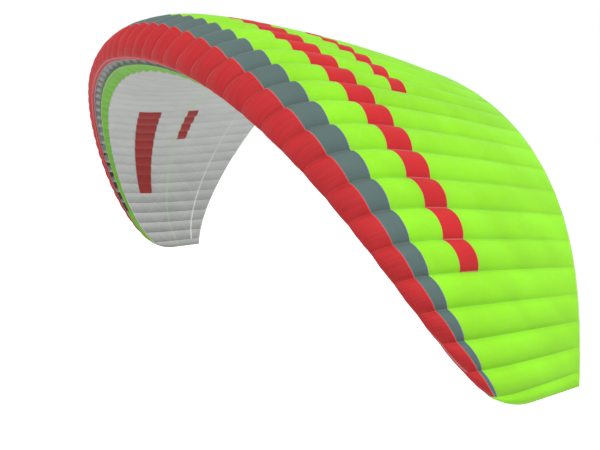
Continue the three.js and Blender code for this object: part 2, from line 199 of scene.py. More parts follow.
@dataclass(frozen=True)
class WingShape:
    """The wing's driving dimensions and the surface that they give."""

    root_chord: float = 2.75
    half_arc: float = 5.605
    tip_seam: int = 24
    tip_rib: int = 23
    last_inlet: int = 20
    plate_steps: int = 400
    wide_cells: int = 8
    narrowing: float = 0.364
    narrowing_power: float = 1.5
    tip_cell: float = 0.66
    arc_tilt: tuple[tuple[int, float], ...] = ((1, 38.6), (3, 41.6), (7, 13.6))
    sweep_back: tuple[tuple[int, float], ...] = ((2, 1.083), (4, 0.097), (10, 0.325), (40, 0.1))
    chord_loss: tuple[tuple[int, float], ...] = ((2, 0.343), (4, 0.409), (10, -0.025), (40, 0.042))
    twist_tip: float = 4.1
    thickness_loss: float = 0.46
    splay: tuple[tuple[int, float], ...] = ((20, 3.3),)
    splay_pivot: float = 0.3
    tip_chord: float = 0.685
    tip_thickness: float = 0.1
    tip_round: float = 0.5
    tip_round_chord: float = 0.35
    upper_swell: float = 0.22
    lower_swell: float = 0.1
    swell_start: float = 0.25
    swell_under: float = 0.22
    edge_station: float = 0.1
    swell_fade: int = 4
    seam_rise: float = 0.00215
    rise_station: float = 0.3
    line_row: float = 0.37
    shift_steps: int = 4
    profile: Profile = Profile()
    distances: list[float] = field(default_factory=list)
    sections: list[Section] = field(default_factory=list)
    origin: list[float] = field(default_factory=list)

    def __post_init__(self) -> None:
        """Works out where each rib stands, and the origin on the lower sail at the centre rib."""
        self.distances.extend(self._rib_distances())
        self.sections.extend(self._make_sections())
        hold, _ = self.edge(self.sections[0], np.array([-math.sqrt(self.line_row)]))
        self.origin.extend(hold[0])

    def _rib_distances(self) -> list[float]:
        """Returns the distance of each rib from the centre along the arc."""
        widths = []
        for cell in range(1, self.tip_seam + 1):
            outer = max(0.0, (cell - self.wide_cells) / (self.tip_seam - self.wide_cells))
            tip = self.tip_cell if cell == self.tip_seam else 1.0
            widths.append((1 - self.narrowing * outer**self.narrowing_power) * tip)
        return [0.0, *(np.cumsum(widths) * self.half_arc / sum(widths))]

    def _make_sections(self) -> list[Section]:
        """Walks along the arc and returns the sections of one half, centre rib to tip seam."""
        sections = []
        x = z = walked = 0.0
        step = self.half_arc / self.plate_steps
        for rib, distance in enumerate(self.distances):
            while distance - walked > FLAT * step:
                stride = min(step, distance - walked)
                middle = (walked + stride / 2) / self.half_arc
                tilt = math.radians(power_sum(self.arc_tilt, middle))
                x += stride * math.cos(tilt)
                z -= stride * math.sin(tilt)
                walked += stride
            s = distance / self.half_arc
            tip = rib == self.tip_seam
            lead = power_sum(self.sweep_back, s)
            chord = self.root_chord * (1 - power_sum(self.chord_loss, s))
            sections.append(
                Section(
                    rib=rib,
                    x=x,
                    z=z,
                    tilt=math.radians(power_sum(self.arc_tilt, s)),
                    lead=lead + (chord - self.tip_chord if tip else 0.0),
                    chord=self.tip_chord if tip else chord,
                    twist=math.radians(self.twist_tip * s * s),
                    thickness=self.tip_thickness if tip else 1 - self.thickness_loss * s * s,
                    splay=math.tan(math.radians(power_sum(self.splay, s))),
                )
            )
        return sections

    def station(self, border: Border, rib: int) -> float:
        """Profile station of a border at a rib.

        Args:
            border: Which border.
            rib: Rib number.

        Returns:
            The station, negative on the lower side.
        """
        fraction = float(np.interp(rib, BORDER_RIBS, BORDERS[border]))
        size = math.copysign(math.sqrt(abs(fraction)), fraction)
        return -size if border in UNDER else size

    def flat_place(self, section: Section, w: Array, side: Array) -> tuple[Array, Array]:
        """Places in a section's own plane.

        Args:
            section: The section.
            w: Profile stations.
            side: 1 for the upper and -1 for the lower side, for each station.

        Returns:
            Distances aft from the nose line, and heights along the section's up.
        """
        full = np.ones_like(w) if section.rib == self.tip_seam else np.abs(w) / self.rise_station
        rise = self.seam_rise * np.minimum(1.0, full)
        along = w * w * section.chord
        up = self.profile.height(w) * section.thickness * section.chord + side * rise
        cos, sin = math.cos(section.twist), math.sin(section.twist)
        return along * cos + up * sin, up * cos - along * sin

    def corner_pull(self, section: Section, w: Array) -> Array:
        """Returns how far the front corner of the tip seam is drawn in, at each station."""
        if section.rib != self.tip_seam:
            return np.zeros_like(w)
        return self.tip_round * np.maximum(0.0, 1 - w * w / self.tip_round_chord) ** 2

    def edge(self, section: Section, w: Array, side: Array | None = None) -> tuple[Array, Array]:
        """The curve of a section in space, and the outward angle of the cloth along it.

        Args:
            section: The section.
            w: Profile stations.
            side: 1 or -1 for each station, or None to take it from the station's sign.

        Returns:
            Points before the origin is set, and angles from +Y towards the section's up.
        """
        side = np.where(w >= 0, 1.0, -1.0) if side is None else side
        y, n = self.flat_place(section, w, side)
        pull = self.corner_pull(section, w)
        inner = self.sections[self.tip_rib] if self.sections[self.tip_rib :] else section
        lean = section.splay * (self.splay_pivot * section.chord - y)
        cos, sin = math.cos(section.tilt), math.sin(section.tilt)
        x = section.x + pull * (inner.x - section.x) + lean * cos
        z = section.z + pull * (inner.z - section.z) - lean * sin
        points = np.stack([x + n * sin, section.lead + y, z + n * cos], axis=-1)
        if section.rib == self.tip_seam:
            return points, np.where(side > 0, 0.5, 1.5) * math.pi
        ends = [np.maximum(-1.0, w - STATION_STEP), np.minimum(1.0, w + STATION_STEP)]
        (y0, n0), (y1, n1) = (
            self.flat_place(section, end, np.where(end >= 0, 1.0, -1.0)) for end in ends
        )
        return points, (np.arctan2(n1 - n0, y1 - y0) + math.pi / 2) % (2 * math.pi)

    def swell(self, w: Array) -> Array:
        """Returns the swell of the cloth in the middle of a cell, per cell width."""
        fade = 1 - (w * w) ** self.swell_fade
        nose = self.upper_swell * smoothstep(w, -self.edge_station, self.swell_start)
        start = smoothstep(-w, self.swell_under, self.swell_under + self.edge_station)
        below = np.maximum(nose, self.lower_swell * fade * start)
        return np.where(w >= 0, nose * fade, below)

    def shift(self, rib: int, w: float, distance: float) -> float:
        """Moves a station along the cloth.

        Args:
            rib: Rib number.
            w: The station.
            distance: Metres, towards the upper sail's trailing edge where positive.

        Returns:
            The moved station.
        """
        section = self.sections[rib]
        for _ in range(self.shift_steps):
            side = np.full(2, 1.0 if w >= 0 else -1.0)
            ends = np.array([w - STATION_STEP, w + STATION_STEP])
            y, n = self.flat_place(section, ends, side)
            rate = math.hypot(y[1] - y[0], n[1] - n[0]) / (2 * STATION_STEP)
            w += distance / self.shift_steps / rate
        return w

    def rows_between(
        self,
        start: Border | float,
        end: Border | float,
        rows: int,
        moves: tuple[float, float] = (0.0, 0.0),
    ) -> RowLaw:
        """Evenly spaced stations from one place on the profile to another.

        Args:
            start: The border, or the station, where they start.
            end: The border, or the station, where they end.
            rows: Number of rows between the stations.
            moves: Metres along the cloth by which the start and the end are moved.

        Returns:
            The law of the stations at each rib.
        """

        def law(rib: int) -> Array:
            """Returns the stations at a rib."""
            ends = []
            for place, move in zip((start, end), moves):
                w = self.station(place, rib) if isinstance(place, Border) else place
                ends.append(self.shift(rib, w, move) if move else w)
            return np.linspace(*ends, rows + 1)

        return law

    def length_along(self, section: Section, w: Array) -> Array:
        """Returns the length of cloth from the nose to each station, negative below."""
        fine = np.linspace(-1, 1, LENGTH_STATIONS)
        y, n = self.flat_place(section, fine, np.where(fine >= 0, 1.0, -1.0))
        lengths = np.concatenate([[0.0], np.cumsum(np.hypot(np.diff(y), np.diff(n)))])
        return np.interp(w, fine, lengths - np.interp(0.0, fine, lengths))


# ---- Cloth grids --------------------


@dataclass
class ClothGrid:
    """Columns of points across a piece of cloth, each with rows along the chord.

    Attributes:
        outer: Points of the outer face, columns by rows by 3.
        inner: Points of the inner face.
        rib_place: Signed rib number of each column, with the part of a cell after the point.
        rib_gap: Distance of each column from the nearest rib.
        across: Distance of each column from the centre, along the span.
        along: Length of cloth from the nose at each point.
        fraction: Fraction of the chord at each point.
    """

    outer: Array
    inner: Array
    rib_place: Array
    rib_gap: Array
    across: Array
    along: Array
    fraction: Array

    def mirrored(self) -> "ClothGrid":
        """Returns the same cloth on the other half of the wing."""
        flip = np.array([-1.0, 1.0, 1.0])
        return ClothGrid(
            outer=self.outer[::-1] * flip,
            inner=self.inner[::-1] * flip,
            rib_place=-self.rib_place[::-1],
            rib_gap=self.rib_gap[::-1],
            across=-self.across[::-1],
            along=self.along[::-1],
            fraction=self.fraction[::-1],
        )

    def joined(self, other: "ClothGrid") -> "ClothGrid":
        """Returns this cloth with another added after it, which starts where this one ends."""
        parts = {
            name: np.concatenate([getattr(self, name), getattr(other, name)[1:]])
            for name in self.__dataclass_fields__
        }
        return ClothGrid(**parts)


@dataclass
class Rows:
    """Which stations and offsets a piece has at each rib.

    Attributes:
        stations: Gives the stations at a rib, lowest first.
        outer: Offset of the outer face from the sail's outside.
        inner: Offset of the inner face.
        side: 1 or -1 for a piece that belongs to one side alone.
    """

    stations: RowLaw
    outer: float = 0.0
    inner: float = -CLOTH
    side: float | None = None


@dataclass
class Puckers:
    """Fine chordwise puckers that the seams draw into the inflated cloth.

    Attributes:
        height: Height of the first of the waves that are added up across a cell.
        first_wave: Its periods across a cell; each next wave has one more.
        loss: How fast the later waves lose height.
        sway: How far the waves wander along the chord, and sway_rate how often.
        nose: Station where they are deepest; spread sets how fast they fade from there.
        rest: Share of their height that is left far from there.
        tail_power: How abruptly they end at the trailing edge.
    """

    height: float = 0.0022
    waves: int = 3
    first_wave: int = 2
    loss: float = 1.5
    sway: float = 2.0
    sway_rate: float = 4
    seed: int = 19
    nose: float = 0.2
    spread: float = 0.03
    rest: float = 0.3
    tail_power: int = 8
    phases: Array = field(init=False)

    def __post_init__(self) -> None:
        """Draws the phases of each cell's waves."""
        draw = np.random.default_rng(self.seed)
        self.phases = draw.uniform(0, 2 * math.pi, (WingShape().tip_seam + 1, self.waves, 2))

    def at(self, cell: int, t: float, w: Array) -> Array:
        """Height of the puckers.

        Args:
            cell: Number of the cell.
            t: Place across the cell, from 0 to 1.
            w: Profile stations.

        Returns:
            A height for each station.
        """
        total = np.zeros_like(w)
        for k in range(self.waves):
            phase, drift = self.phases[cell, k]
            sway = self.sway * np.sin(self.sway_rate * w + drift)
            turn = 2 * math.pi * (k + self.first_wave) * t + phase + sway
            total += np.sin(turn) / (k + self.loss)
        taper = math.sin(math.pi * t)
        share = self.rest + (1 - self.rest) * np.exp(-((w - self.nose) ** 2) / self.spread)
        fade = 1 - w**self.tail_power
        return self.height * taper * share * fade * total


@dataclass
class ClothCutter:
    """Cuts pieces of cloth to the wing's shape."""

    shape: WingShape
    puckers: Puckers

    def half(
        self, rows: Rows, inner_rib: int, outer_rib: int, steps: int, start: float = 0.0
    ) -> ClothGrid:
        """Cuts a piece for the left half.

        Args:
            rows: The piece's stations and offsets.
            inner_rib: The rib where it starts.
            outer_rib: The rib where it ends.
            steps: Columns to a cell.
            start: Where in the first cell it starts, as a part of that cell.

        Returns:
            The piece's grid.
        """
        columns: dict[str, list] = {name: [] for name in ClothGrid.__dataclass_fields__}
        for cell in range(inner_rib + 1, outer_rib + 1):
            first = cell == inner_rib + 1
            for i in range(0 if first else 1, steps + 1):
                t = start if first and i == 0 else i / steps
                self._add_column(columns, rows, cell, t)
        return ClothGrid(**{name: np.array(values) for name, values in columns.items()})

    def _add_column(self, columns: dict[str, list], rows: Rows, cell: int, t: float) -> None:
        """Adds the column at t in a cell to the lists that columns holds by name."""
        shape = self.shape
        a, b = shape.sections[cell - 1], shape.sections[cell]
        w_a, w_b = rows.stations(cell - 1), rows.stations(cell)
        side = None if rows.side is None else np.full(len(w_a), rows.side)
        points_a, angles_a = shape.edge(a, w_a, side)
        points_b, angles_b = shape.edge(b, w_b, side)
        w = w_a + t * (w_b - w_a)
        angle = angles_a + t * (angles_b - angles_a)
        tilt = a.tilt + t * (b.tilt - a.tilt)
        outward = np.stack(
            [np.sin(angle) * math.sin(tilt), np.cos(angle), np.sin(angle) * math.cos(tilt)], axis=-1
        )
        rise = np.linalg.norm(points_b - points_a, axis=1) * arc_height(t, shape.swell(w))
        rise = rise + self.puckers.at(cell, t, w)
        base = points_a + t * (points_b - points_a) - np.array(shape.origin)
        width = shape.distances[cell] - shape.distances[cell - 1]
        length = shape.length_along(a, w) * (1 - t) + shape.length_along(b, w) * t
        columns["outer"].append(base + outward * (rise + rows.outer)[:, None])
        columns["inner"].append(base + outward * (rise + rows.inner)[:, None])
        columns["rib_place"].append(cell - 1 + t)
        columns["rib_gap"].append(min(t, 1 - t) * width)
        columns["across"].append(shape.distances[cell - 1] + t * width)
        columns["along"].append(length)
        columns["fraction"].append(w * w)

    def whole(self, rows: Rows, outer_rib: int, steps: int) -> ClothGrid:
        """Cuts a piece that runs over the whole span.

        Args:
            rows: The piece's stations and offsets.
            outer_rib: The rib where it ends on each half.
            steps: Columns to a cell.

        Returns:
            The piece's grid, from the right end to the left one.
        """
        left = self.half(rows, 0, outer_rib, steps)
        return left.mirrored().joined(left)


# ---- Meshes --------------------


@dataclass
class ClothMesh:
    """Turns a grid into a closed mesh of cloth and places it on the wing."""

    grid: ClothGrid
    name: str

    def build(
        self, finish: bpy.types.Material, lining: bpy.types.Material | None = None
    ) -> bpy.types.Object:
        """Makes the object.

        Args:
            finish: Material of the outside and the edges.
            lining: Material of the inside, where it differs; on the nose band a dark painted shade.

        Returns:
            The object, riding on the wing.
        """
        columns, rows = self.grid.outer.shape[:2]
        points = np.concatenate([self.grid.outer.reshape(-1, 3), self.grid.inner.reshape(-1, 3)])
        outer, inner, rim = self._faces(columns, rows)
        faces = np.concatenate([outer, inner, rim])
        mesh = bpy.data.meshes.new(self.name)
        mesh.vertices.add(len(points))
        mesh.vertices.foreach_set("co", points.astype(np.float32).ravel())
        mesh.loops.add(faces.size)
        mesh.loops.foreach_set("vertex_index", faces.astype(np.int32).ravel())
        mesh.polygons.add(len(faces))
        mesh.polygons.foreach_set("loop_start", np.arange(0, faces.size, 4, dtype=np.int32))
        mesh.polygons.foreach_set("use_smooth", np.ones(len(faces), dtype=bool))
        mesh.materials.append(finish)
        if lining is not None:
            mesh.materials.append(lining)
            kinds = np.zeros(len(faces), dtype=np.int32)
            kinds[len(outer) : len(outer) + len(inner)] = 1
            mesh.polygons.foreach_set("material_index", kinds)
        mesh.update(calc_edges=True)
        self._mark_folds(mesh, columns, rows)
        self._write_places(mesh)
        mesh.validate()
        piece = link(self.name, mesh)
        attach(piece, BODY)
        return piece

    @staticmethod
    def _faces(columns: int, rows: int) -> tuple[Array, Array, Array]:
        """Four-cornered faces of a closed sheet.

        Args:
            columns: Number of columns.
            rows: Number of rows.

        Returns:
            The faces of the outside, of the inside and of the four edges.
        """
        at = np.arange(columns * rows).reshape(columns, rows)
        inside = at + columns * rows
        a, b, c, d = at[:-1, :-1], at[1:, :-1], at[1:, 1:], at[:-1, 1:]
        outer = np.stack([a, b, c, d], axis=-1).reshape(-1, 4)
        inner = outer[:, ::-1] + columns * rows
        rims = [
            np.stack([at[1:, 0], at[:-1, 0], inside[:-1, 0], inside[1:, 0]], axis=-1),
            np.stack([at[:-1, -1], at[1:, -1], inside[1:, -1], inside[:-1, -1]], axis=-1),
            np.stack([at[0, :-1], at[0, 1:], inside[0, 1:], inside[0, :-1]], axis=-1),
            np.stack([at[-1, 1:], at[-1, :-1], inside[-1, :-1], inside[-1, 1:]], axis=-1),
        ]
        return outer, inner, np.concatenate(rims)

    def _mark_folds(self, mesh: bpy.types.Mesh, columns: int, rows: int) -> None:
        """Marks the seams along the ribs and the sheet's own edges of a mesh as sharp."""
        ends = np.zeros(len(mesh.edges) * 2, dtype=np.int32)
        mesh.edges.foreach_get("vertices", ends)
        ends = ends.reshape(-1, 2)
        layer = ends // (columns * rows)
        column, row = np.divmod(ends % (columns * rows), rows)
        along = column[:, 0] == column[:, 1]
        seam = along & (self.grid.rib_gap[column[:, 0]] < FLAT)
        rim_side = along & ((column[:, 0] == 0) | (column[:, 0] == columns - 1))
        rim_end = (row[:, 0] == row[:, 1]) & ((row[:, 0] == 0) | (row[:, 0] == rows - 1))
        sharp = seam | rim_side | rim_end | (layer[:, 0] != layer[:, 1])
        mesh.attributes.new("sharp_edge", "BOOLEAN", "EDGE").data.foreach_set("value", sharp)

    def _write_places(self, mesh: bpy.types.Mesh) -> None:
        """Writes where each point of a mesh lies on the wing, for the finishes to read."""
        grid = self.grid
        wide = np.broadcast_to(grid.across[:, None], grid.along.shape)
        cloth = np.stack([wide, grid.along, grid.fraction], axis=-1)
        edge_gap = np.minimum(
            np.abs(grid.along - grid.along[:, :1]), np.abs(grid.along - grid.along[:, -1:])
        )
        ribs = np.broadcast_to(grid.rib_place[:, None], grid.along.shape)
        gaps = np.broadcast_to(grid.rib_gap[:, None], grid.along.shape)
        cell = np.stack([ribs, gaps, edge_gap], axis=-1)
        for name, values in (("cloth_place", cloth), ("cell_place", cell)):
            both = np.concatenate([values.reshape(-1, 3)] * 2).astype(np.float32)
            data = mesh.attributes.new(name, "FLOAT_VECTOR", "POINT").data
            data.foreach_set("vector", both.ravel())


# ---- Finishes --------------------


class Nodes:
    """The node tree of a material or of the world, with short ways to add nodes."""

    CLOUDS = (0.3, 0.7)  # levels of noise between which clouds go from dark to bright

    def __init__(self, owner: bpy.types.Material | bpy.types.World) -> None:
        """Starts an empty tree for its owner."""
        self.owner = owner
        owner.use_nodes = True
        self.tree = owner.node_tree
        self.tree.nodes.clear()

    def add(self, kind: str, *values: object, **inputs: object) -> bpy.types.Node:
        """Adds a node.

        Args:
            kind: Blender's name of the node type.
            *values: Sockets or values of its first inputs.
            **inputs: Sockets or values by input name, with _ for a space.

        Returns:
            The node.
        """
        node = self.tree.nodes.new(kind)
        for socket, value in zip(node.inputs, values):
            self.feed(socket, value)
        for key, value in inputs.items():
            self.feed(node.inputs[key.replace("_", " ")], value)
        return node

    def feed(self, socket: Socket, value: object) -> None:
        """Links a socket to another one, or sets its value."""
        if isinstance(value, Socket):
            self.tree.links.new(value, socket)
        else:
            socket.default_value = value

    def math(self, operation: str, *values: object) -> Socket:
        """Adds a Math node on values and returns its result."""
        node = self.tree.nodes.new("ShaderNodeMath")
        node.operation = operation
        for socket, value in zip(node.inputs, values):
            self.feed(socket, value)
        return node.outputs[0]

    def distance(self, value: object, middle: float) -> Socket:
        """Returns how far a value lies from the middle."""
        return self.math("ABSOLUTE", self.math("SUBTRACT", value, middle))

    def blend(self, first: object, share: float, second: object, other: float) -> Socket:
        """Returns first * share + second * other."""
        return self.math("MULTIPLY_ADD", first, share, self.math("MULTIPLY", second, other))

    def step(
        self, value: Socket, low: float, high: float, start: float = 0.0, end: float = 1.0
    ) -> Socket:
        """Adds a smooth step.

        Args:
            value: What is stepped.
            low: Value at which the step starts.
            high: Value at which it is complete.
            start: Result below low.
            end: Result above high.

        Returns:
            The result.
        """
        node = self.add("ShaderNodeMapRange", value, low, high, start, end)
        node.interpolation_type = "SMOOTHSTEP"
        return node.outputs[0]

    def mix(self, share: object, first: object, second: object) -> Socket:
        """Mixes two colours by a share and returns the result."""
        node = self.tree.nodes.new("ShaderNodeMix")
        node.data_type = "RGBA"
        for index, value in ((0, share), (6, first), (7, second)):
            self.feed(node.inputs[index], value)
        return node.outputs[2]

    def place(self, name: str) -> tuple[Socket, list[Socket]]:
        """Reads a place that the mesh holds.

        Args:
            name: Name of the mesh's attribute.

        Returns:
            The vector, and its three parts.
        """
        node = self.tree.nodes.new("ShaderNodeAttribute")
        node.attribute_name = name
        parts = self.add("ShaderNodeSeparateXYZ", Vector=node.outputs["Vector"])
        return node.outputs["Vector"], list(parts.outputs)

    def noise(self, vector: object, scale: float, detail: float = 3.0) -> Socket:
        """Adds a noise texture and returns its value."""
        return self.add("ShaderNodeTexNoise", Vector=vector, Scale=scale, Detail=detail).outputs[0]

    def streaks(
        self, vector: object, scale: tuple[float, float, float], detail: float = 4.0
    ) -> Socket:
        """Adds noise that is stretched by its axes and returns its value."""
        stretched = self.add("ShaderNodeMapping", Vector=vector, Scale=scale).outputs[0]
        return self.noise(stretched, 1.0, detail)

    def clouds(self, vector: object, scale: float, dark: float, bright: float) -> Socket:
        """Adds broad soft noise between two levels of brightness and returns it."""
        return self.step(self.noise(vector, scale), *self.CLOUDS, dark, bright)

    def tinted(self, colour: str, value: Socket) -> Socket:
        """Returns a screen colour with its brightness multiplied by the value."""
        return self.add("ShaderNodeHueSaturation", Value=value, Color=linear(colour)).outputs[0]

    def grid_lines(self, first: object, second: object, pitch: float, share: float) -> Socket:
        """Draws the thicker threads of a ripstop weave.

        Args:
            first: Place in one direction, in metres.
            second: Place in the other direction.
            pitch: Distance between the threads.
            share: Part of that distance that a thread takes.

        Returns:
            1 on a thread and 0 beside it.
        """
        lines = []
        for value in (first, second):
            wave = self.math("PINGPONG", value, pitch / 2)
            lines.append(self.step(wave, pitch * share / 2, pitch * share / 4))
        return self.math("MAXIMUM", *lines)

    def finish(
        self, colour: object, bump: object, depth: float, sheer: float = 0.0, **settings: float
    ) -> bpy.types.Material:
        """Closes the material with its shader.

        Args:
            colour: The surface's colour.
            bump: Height of its relief, from 0 to 1.
            depth: Depth of that relief in metres.
            sheer: Share of the light that passes through the cloth.
            **settings: Values of the shader's own sockets, with _ for a space.

        Returns:
            The material.
        """
        shader = self.add("ShaderNodeBsdfPrincipled", **settings)
        self.feed(shader.inputs["Base Color"], colour)
        relief = self.add("ShaderNodeBump", Height=bump, Distance=depth, Strength=1.0)
        self.feed(shader.inputs["Normal"], relief.outputs[0])
        surface = shader.outputs[0]
        if sheer:
            through = self.add("ShaderNodeBsdfTranslucent", Color=colour)
            surface = self.add("ShaderNodeMixShader", sheer, surface, through.outputs[0]).outputs[0]
        self.add("ShaderNodeOutputMaterial", surface)
        return self.owner


@dataclass(frozen=True)
class ClothPlace:
    """Where a point of cloth lies, as sockets of a material's nodes.

    Attributes:
        vector: Place across the span and along the chord, and the fraction of the chord.
        across: Place across the span, in metres.
        along: Place along the chord, in metres from the nose.
        fraction: Fraction of the chord.
        rib: Signed rib number.
        rib_gap: Distance from the nearest rib.
        edge_gap: Distance from the piece's nearest edge.
    """

    vector: Socket
    across: Socket
    along: Socket
    fraction: Socket
    rib: Socket
    rib_gap: Socket
    edge_gap: Socket

    @classmethod
    def read(cls, nodes: Nodes) -> "ClothPlace":
        """Reads the places that the mesh holds."""
        vector, parts = nodes.place("cloth_place")
        return cls(vector, *parts, *nodes.place("cell_place")[1])


@dataclass(frozen=True)
class ClothFinish:
    """Coated ripstop cloth with its rib seams, hems and stitches.

    Attributes:
        name: The material's name.
        slot: Name of a material slot for its pieces; not used.
        colour: Screen colour of the cloth.
        seam: Screen colour of the seam along a rib.
        seam_width: Half its width.
        seam_share: How strongly it shows.
        hem: Screen colour of the piece's turned edges.
        hem_width: Width of those edges.
        hem_share: How strongly they show.
        mottling: Brightness variation over the cloth.
        streaks: Brightness of the chordwise streaks near the nose.
        crease_shade: How much darker painted shade makes the cloth beside a seam.
        roughness: The coating's roughness.
        sheen: The weave's sheen.
        sheer: Share of the light that passes through the cloth.
        braces: How strongly the bands inside the wing show through.
        outer_seams: Share of the seams' strength that is left towards the tips.
        cell_fall_shade: How much darker painted shade makes a cell's cloth at its outer seam than
            at its inner one.
        tip_shade: How much darker painted shade makes the cloth at the tips than in the middle.
        smooth_lip: Whether the rib seams end at the nose, above the lip of the inlets.
    """

    name: str
    slot: str
    colour: str
    seam: str
    seam_width: float = 0.005
    seam_share: float = 0.6
    hem: str = "303030"
    hem_width: float = 0.006
    hem_share: float = 0.0
    mottling: float = 0.035
    streaks: float = 0.0
    crease_shade: float = 0.06
    roughness: float = 0.55
    sheen: float = 0.12
    sheer: float = 0.34
    braces: float = 0.0
    outer_seams: float = 1.0
    cell_fall_shade: float = 0.1
    tip_shade: float = 0.0
    smooth_lip: bool = False

    # Lengths in metres along the cloth
    RIPSTOP = (0.0055, 0.16)  # pitch of the thick threads, and the part of it that one takes
    STITCH = 0.0034
    STITCH_ENDS = (0.0004, 0.0006)
    STITCH_ROW = (0.0007, 0.0004)
    CREASE_SHADE_WIDTH = 0.035
    LIP_FADE = (-0.07, 0.05)  # where the seams of a smooth lip fade in
    RELIEF = 0.0018
    # Fractions of the chord
    LINE_ROWS = (0.15, 0.37, 0.66)
    BRACE_RUN = 0.1
    BRACE_EDGES = (0.007, 0.003)
    SPAN_TAPE = 0.5
    SPAN_TAPE_EDGES = (0.013, 0.009)
    STREAK_END = 0.14
    # Noise: scale, or scales across and along
    MOTTLE = 2.6
    WRINKLES = (38, 5, 0)
    STREAKS = (120, 3.5, 0)
    STREAK_DETAIL = 5.0
    # Rib numbers
    SEAM_FADE = (8.0, 14.0)
    TIP_FADE = (11.0, 23.0)
    # Shares
    SEAM_CORE = 0.6  # part of a seam's half width that has its full colour
    HEM_CORE = 0.7
    STITCH_PLACE = 0.7  # of the seam's half width
    STITCH_SHARE = 0.5
    BRACE_SHARE = 0.5
    WEAVE_RELIEF, WRINKLE_RELIEF, STITCH_RELIEF = 0.1, 0.9, 0.2
    CELL_VARIETY = 0.015
    SHADE_FALL_MIDDLE = 0.3  # part of a cell's width where the painted shade changes nothing

    def make(self) -> bpy.types.Material:
        """Returns the material."""
        nodes = Nodes(bpy.data.materials.new(self.name))
        at = ClothPlace.read(nodes)
        colour = self._varied(nodes, at)
        if self.braces:
            colour = self._braced(nodes, at, colour)
        colour = nodes.mix(self._seams(nodes, at), colour, linear(self.seam))
        if self.hem_share:
            edges = self.hem_width, self.hem_width * self.HEM_CORE
            hem = nodes.step(at.edge_gap, *edges, 0.0, self.hem_share)
            colour = nodes.mix(hem, colour, linear(self.hem))
        stitches = self._stitches(nodes, at)
        stitched = nodes.math("MULTIPLY", stitches, self.STITCH_SHARE)
        colour = nodes.mix(stitched, colour, linear(self.seam))
        weave = nodes.grid_lines(at.across, at.along, *self.RIPSTOP)
        wrinkles = nodes.streaks(at.vector, self.WRINKLES)
        relief = nodes.blend(weave, self.WEAVE_RELIEF, wrinkles, self.WRINKLE_RELIEF)
        return nodes.finish(
            colour,
            nodes.math("MULTIPLY_ADD", stitches, self.STITCH_RELIEF, relief),
            self.RELIEF,
            self.sheer,
            Roughness=self.roughness,
            Sheen_Weight=self.sheen,
            Sheen_Roughness=0.4,
            Specular_IOR_Level=0.18,
        )

    def _seams(self, nodes: Nodes, at: ClothPlace) -> Socket:
        """Returns how strongly the rib seams show."""
        edges = self.seam_width, self.seam_width * self.SEAM_CORE
        seam = nodes.step(at.rib_gap, *edges, 0.0, self.seam_share)
        out = nodes.math("ABSOLUTE", at.rib)
        seam = nodes.math(
            "MULTIPLY", seam, nodes.step(out, *self.SEAM_FADE, 1.0, self.outer_seams)
        )
        if self.smooth_lip:
            seam = nodes.math("MULTIPLY", seam, nodes.step(at.along, *self.LIP_FADE))
        return seam

    def _varied(self, nodes: Nodes, at: ClothPlace) -> Socket:
        """Returns the colour, varied from cell to cell, with painted shade by the seams, across
        each cell and at the tips.
        """
        broad = nodes.clouds(at.vector, self.MOTTLE, 1 - self.mottling, 1 + self.mottling)
        cell = nodes.add("ShaderNodeTexWhiteNoise")
        cell.noise_dimensions = "1D"
        nodes.feed(cell.inputs["W"], nodes.math("FLOOR", at.rib))
        variety = 1 - self.CELL_VARIETY, 1 + self.CELL_VARIETY
        own = nodes.step(cell.outputs["Value"], 0.0, 1.0, *variety)
        value = nodes.math("MULTIPLY", broad, own)
        # Painted shade: the cloth darkens within a few centimetres of each rib seam.
        crease_shade = nodes.step(at.rib_gap, self.CREASE_SHADE_WIDTH, 0.0, 0.0, self.crease_shade)
        value = nodes.math("SUBTRACT", value, crease_shade)
        out = nodes.math("ABSOLUTE", at.rib)
        # Painted shade: each cell is lighter at its inner seam and darker at its outer one, as if
        # lit from above.
        raised = nodes.math("ADD", value, self.cell_fall_shade * self.SHADE_FALL_MIDDLE)
        value = nodes.math("MULTIPLY_ADD", nodes.math("FRACT", out), -self.cell_fall_shade, raised)
        if self.tip_shade:
            # Painted shade: the cloth darkens towards the tips.
            towards_tip = nodes.step(out, *self.TIP_FADE, 0.0, self.tip_shade)
            value = nodes.math("SUBTRACT", value, towards_tip)
        if self.streaks:
            noise = nodes.streaks(at.vector, self.STREAKS, self.STREAK_DETAIL)
            streak = nodes.math("SUBTRACT", noise, 0.5)
            near_nose = nodes.step(at.fraction, self.STREAK_END, 0.0, 0.0, self.streaks)
            value = nodes.math("MULTIPLY_ADD", streak, near_nose, value)
        return nodes.tinted(self.colour, value)

    def _braced(self, nodes: Nodes, at: ClothPlace, colour: Socket) -> Socket:
        """Lets the bands inside the wing show through the cloth.

        Bands rise from the rows of lines on every second rib, and one tape runs along the span.

        Args:
            nodes: The material's nodes.
            at: Where a point lies.
            colour: The cloth's colour.

        Returns:
            The colour with the bands.
        """
        away = nodes.math("PINGPONG", nodes.math("SUBTRACT", at.rib, 1.0), 1.0)
        lines = []
        for row in self.LINE_ROWS:
            off = nodes.distance(at.fraction, row)
            slope = nodes.math("MULTIPLY_ADD", away, -self.BRACE_RUN, off)
            lines.append(nodes.step(nodes.math("ABSOLUTE", slope), *self.BRACE_EDGES))
        bands = nodes.math("MAXIMUM", nodes.math("MAXIMUM", *lines[:2]), lines[2])
        shown = nodes.math("MULTIPLY", bands, self.braces * self.BRACE_SHARE)
        colour = nodes.mix(shown, colour, linear("eeeeee"))
        tape = nodes.step(nodes.distance(at.fraction, self.SPAN_TAPE), *self.SPAN_TAPE_EDGES)
        return nodes.mix(nodes.math("MULTIPLY", tape, self.braces), colour, linear("bfe8a4"))

